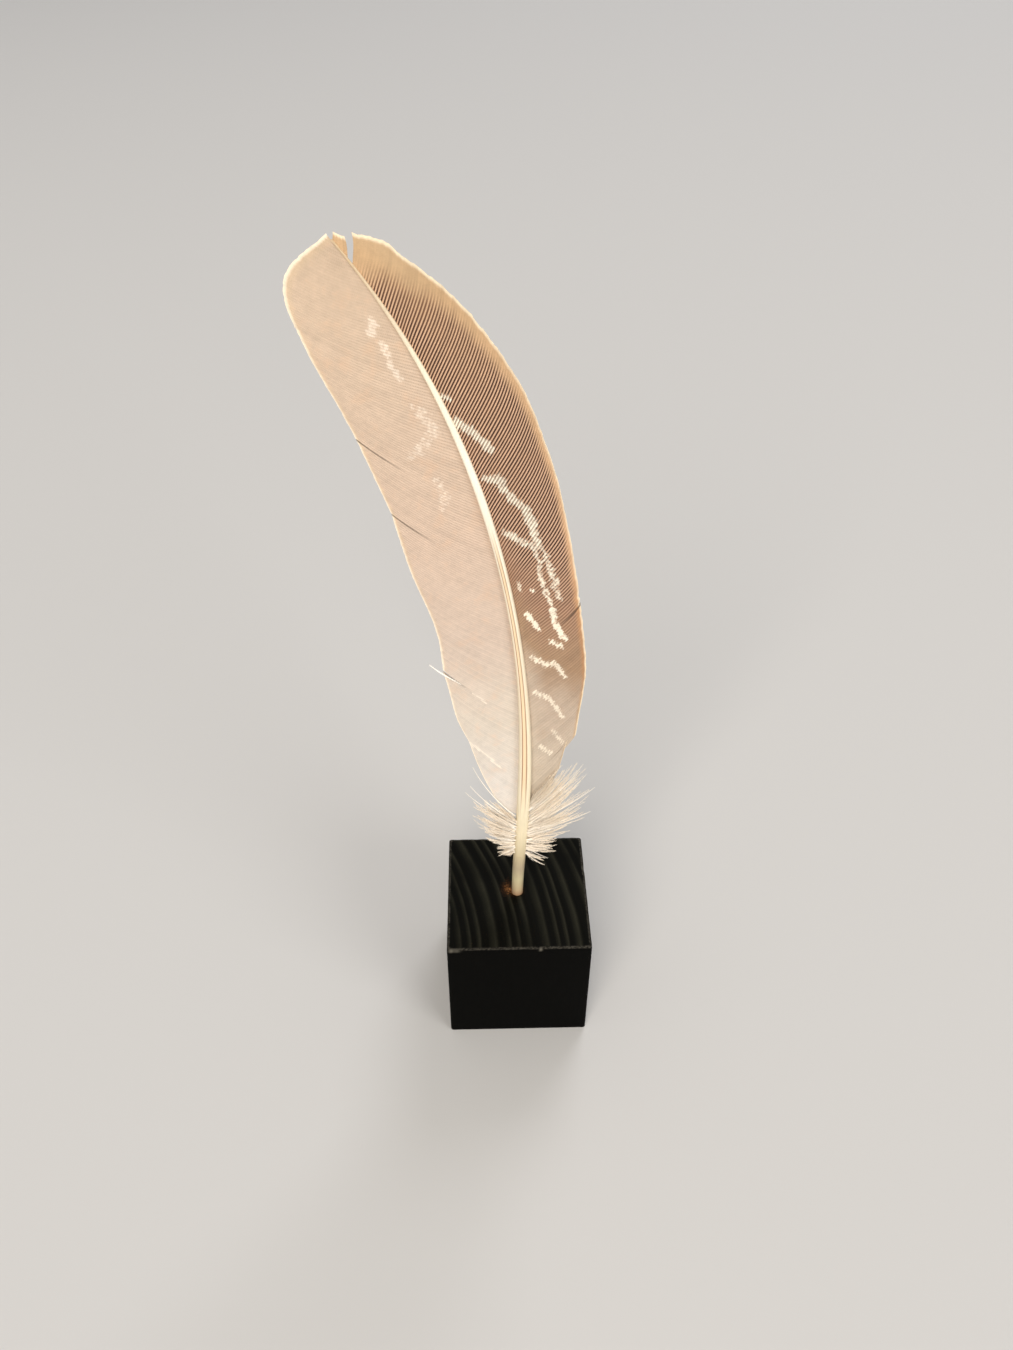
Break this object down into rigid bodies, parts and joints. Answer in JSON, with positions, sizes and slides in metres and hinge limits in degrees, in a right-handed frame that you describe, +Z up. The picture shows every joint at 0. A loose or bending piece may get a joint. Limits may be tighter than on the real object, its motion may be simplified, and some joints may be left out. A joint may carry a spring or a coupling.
{
  "type": "feather on a block stand",
  "caption": "Curved feather with a grooved shaft and a downy base, standing upright by its hollow quill in a hole in a small black wooden cube.",
  "frame": {"origin": "centre of the cube's underside, on the surface it stands on", "axes": "+Z up, along the quill; -Y towards the grooved inner face of the feather; the feather's tip leans towards -X"},
  "size_m": [0.047, 0.03, 0.168],
  "materials": {
    "stained_wood": "black stain, satin, open end grain on top",
    "quill_horn": "translucent horn, satin",
    "membrane": "dry skin",
    "shaft_horn": "smooth horn, satin",
    "pith": "chalky foam",
    "plain_vane": "close-set barbs, plain warm beige",
    "barred_vane": "close-set barbs, tan over brown with cream marks",
    "down": "loose downy strands"
  },
  "bodies": {
    "block": {"wood_block": "stained_wood"},
    "feather": {"quill": "quill_horn", "pulp_caps": "membrane", "shaft": "shaft_horn", "shaft_pith": "pith", "left_web_1": "plain_vane", "left_web_2": "plain_vane", "left_web_3": "plain_vane", "left_web_4": "plain_vane", "left_web_5": "plain_vane", "left_web_6": "plain_vane", "right_web_1": "barred_vane", "right_web_2": "barred_vane", "right_web_3": "barred_vane", "right_tip_web": "barred_vane", "stray_barb": "plain_vane", "left_down": "down", "left_base_tuft": "down", "right_down": "down", "right_base_tuft": "down"}
  },
  "joints": [
    {"name": "feather_lift", "type": "slide", "parent": "block", "child": "feather", "axis": [0, 0, 1], "range_m": [0, 0.03]}
  ]
}
